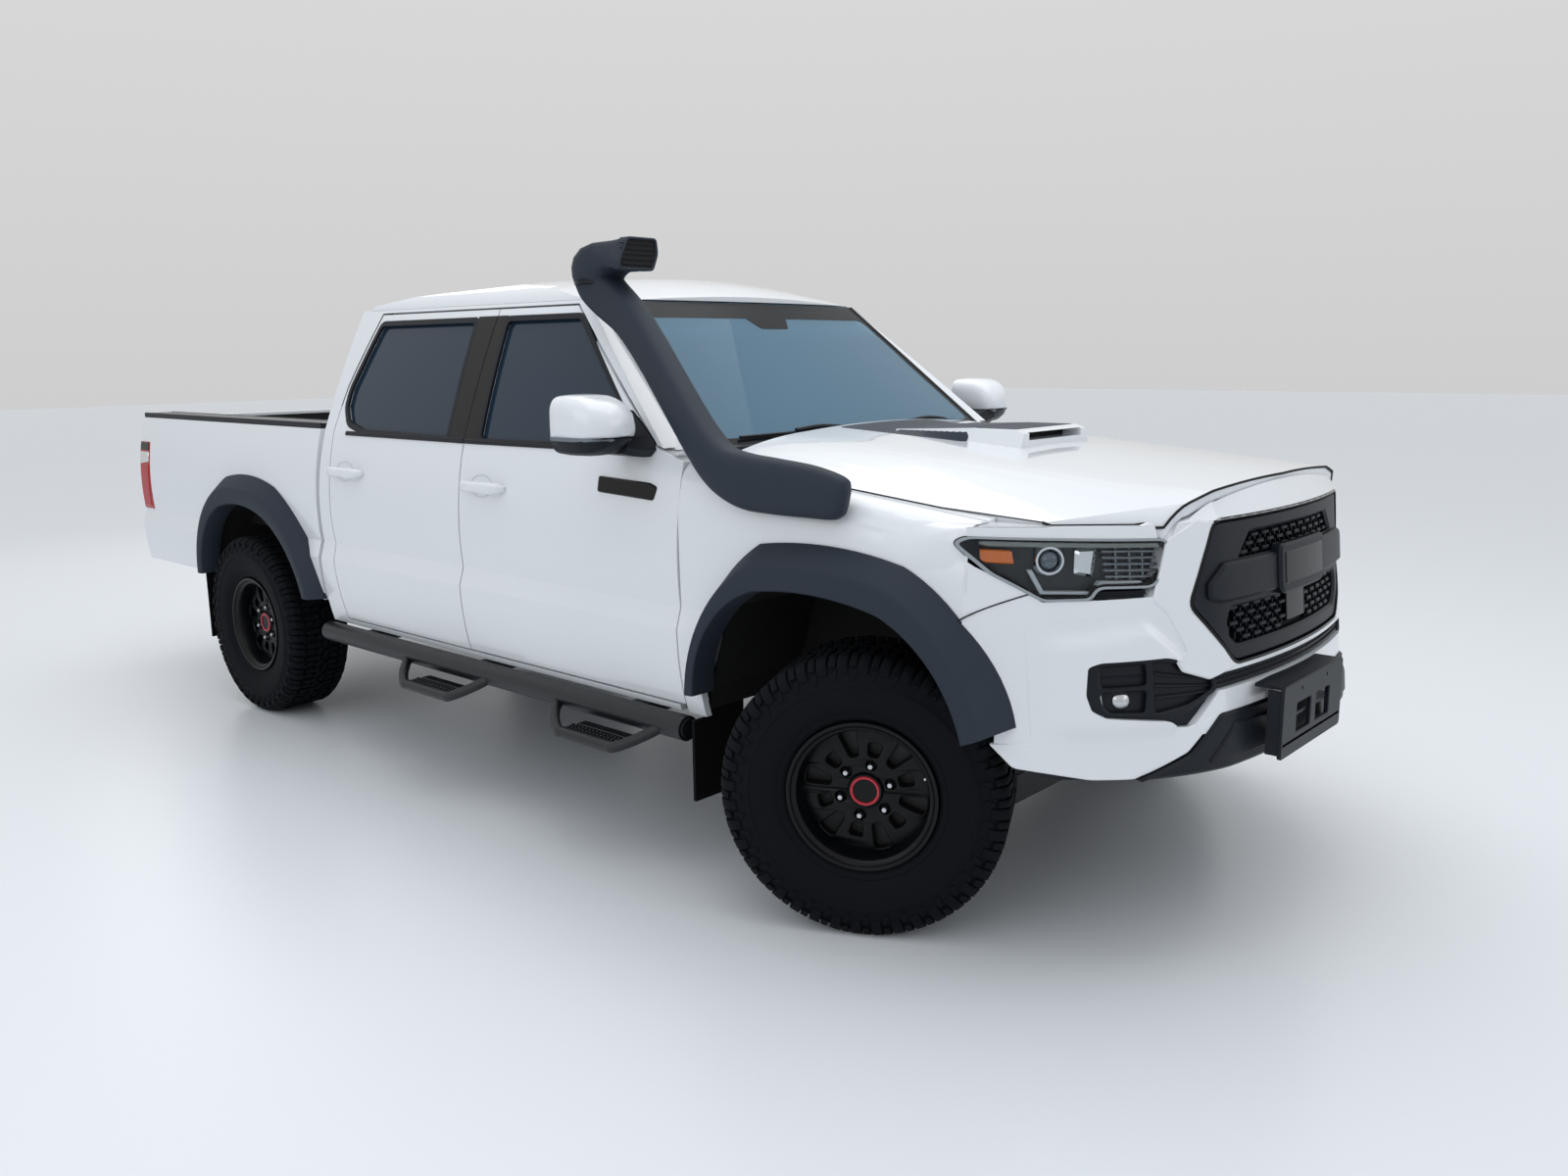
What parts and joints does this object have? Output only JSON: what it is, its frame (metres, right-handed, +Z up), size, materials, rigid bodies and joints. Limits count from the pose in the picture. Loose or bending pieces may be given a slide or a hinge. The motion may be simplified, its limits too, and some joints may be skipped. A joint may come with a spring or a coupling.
{
  "type": "lifted off-road pickup",
  "caption": "Lifted double-cab off-road pickup with black wheel flares, snorkel, hoop step bars, opening doors, hood and tailgate, steered front wheels and a load bed.",
  "frame": {"origin": "on the ground under the middle of the vehicle's length and width, which is the bottom centre of its bounding box", "axes": "+X forward along the vehicle, +Y to its left (the driver's side of a left-hand-drive vehicle), +Z up"},
  "size_m": [5.431, 2.188, 1.86],
  "materials": {
    "body_white": "gloss",
    "trim_black": "matte textured",
    "liner_black": "matte",
    "chassis_black": "satin",
    "coated_steel": "textured powder coat",
    "cast_metal": "rough cast",
    "exhaust_steel": "dull",
    "wheel_black": "satin",
    "tyre_rubber": "matte",
    "flap_rubber": "matte",
    "clear_glass": "clear",
    "tinted_glass": "tinted",
    "lamp_lens": "clear over a dark housing",
    "red_lens": "gloss",
    "seat_fabric": "woven"
  },
  "bodies": {
    "body": {"ladder_frame": "chassis_black", "cab_shell": "body_white", "roof": "body_white", "windshield": "clear_glass", "rear_window": "tinted_glass", "front_fenders": "body_white", "inner_fenders": "liner_black", "front_bumper": "body_white", "bumper_trim": "trim_black", "grille": "trim_black", "headlamps": "lamp_lens", "plate_bracket": "trim_black", "bed_box": "body_white", "bed_rail_caps": "trim_black", "rear_bumper": "body_white", "tail_lamps": "red_lens", "wheel_flares": "trim_black", "step_bars": "coated_steel", "snorkel": "trim_black", "engine_block": "cast_metal", "front_suspension": "chassis_black", "rear_axle": "chassis_black", "leaf_springs": "chassis_black", "exhaust": "exhaust_steel", "spare_wheel": "tyre_rubber", "front_seats": "seat_fabric", "rear_bench": "seat_fabric", "dashboard": "trim_black", "mudflaps": "flap_rubber"},
    "hood": {"hood": "body_white"},
    "tailgate": {"tailgate": "body_white"},
    "front_door_right": {"front_door_right": "body_white", "front_glass_right": "tinted_glass", "mirror_right": "body_white"},
    "rear_door_right": {"rear_door_right": "body_white", "rear_glass_right": "tinted_glass"},
    "knuckle_right": {"knuckle_right": "cast_metal"},
    "wheel_front_right": {"tyre_front_right": "tyre_rubber", "rim_front_right": "wheel_black"},
    "wheel_rear_right": {"tyre_rear_right": "tyre_rubber", "rim_rear_right": "wheel_black"},
    "front_door_left": {"front_door_left": "body_white", "front_glass_left": "tinted_glass", "mirror_left": "body_white"},
    "rear_door_left": {"rear_door_left": "body_white", "rear_glass_left": "tinted_glass"},
    "knuckle_left": {"knuckle_left": "cast_metal"},
    "wheel_front_left": {"tyre_front_left": "tyre_rubber", "rim_front_left": "wheel_black"},
    "wheel_rear_left": {"tyre_rear_left": "tyre_rubber", "rim_rear_left": "wheel_black"}
  },
  "joints": [
    {"name": "steer_right", "type": "hinge", "parent": "body", "child": "knuckle_right", "pos_m": [1.7705, -0.7, 0.382], "axis": [0, 0, 1], "range_deg": [-60, 6]},
    {"name": "wheel_front_right_spin", "type": "hinge", "parent": "knuckle_right", "child": "wheel_front_right", "pos_m": [1.8159, -0.7891, 0.382], "axis": [-0.454, 0.891, 0], "continuous": true},
    {"name": "wheel_rear_right_spin", "type": "hinge", "parent": "body", "child": "wheel_rear_right", "pos_m": [-1.4655, -0.8, 0.382], "axis": [0, 1, 0], "continuous": true},
    {"name": "front_door_right_hinge", "type": "hinge", "parent": "body", "child": "front_door_right", "pos_m": [1.1955, -0.903, 0.87], "axis": [0, 0, 1], "range_deg": [0, 65]},
    {"name": "rear_door_right_hinge", "type": "hinge", "parent": "body", "child": "rear_door_right", "pos_m": [0.1045, -0.903, 0.87], "axis": [0, 0, 1], "range_deg": [0, 65]},
    {"name": "steer_left", "type": "hinge", "parent": "body", "child": "knuckle_left", "pos_m": [1.7705, 0.7, 0.382], "axis": [0, 0, 1], "range_deg": [-60, 6]},
    {"name": "wheel_front_left_spin", "type": "hinge", "parent": "knuckle_left", "child": "wheel_front_left", "pos_m": [1.7251, 0.7891, 0.382], "axis": [-0.454, 0.891, 0], "continuous": true},
    {"name": "wheel_rear_left_spin", "type": "hinge", "parent": "body", "child": "wheel_rear_left", "pos_m": [-1.4655, 0.8, 0.382], "axis": [0, 1, 0], "continuous": true},
    {"name": "front_door_left_hinge", "type": "hinge", "parent": "body", "child": "front_door_left", "pos_m": [1.1955, 0.903, 0.87], "axis": [0, 0, -1], "range_deg": [0, 65]},
    {"name": "rear_door_left_hinge", "type": "hinge", "parent": "body", "child": "rear_door_left", "pos_m": [0.1045, 0.903, 0.87], "axis": [0, 0, -1], "range_deg": [0, 65]},
    {"name": "hood_hinge", "type": "hinge", "parent": "body", "child": "hood", "pos_m": [1.2555, 0, 1.292], "axis": [0, -1, 0], "range_deg": [0, 50]},
    {"name": "tailgate_hinge", "type": "hinge", "parent": "body", "child": "tailgate", "pos_m": [-2.5495, 0, 0.755], "axis": [0, -1, 0], "range_deg": [0, 90]}
  ],
  "couplings": [
    {"joint": "steer_right", "follows": "steer_left", "ratio": 1}
  ]
}
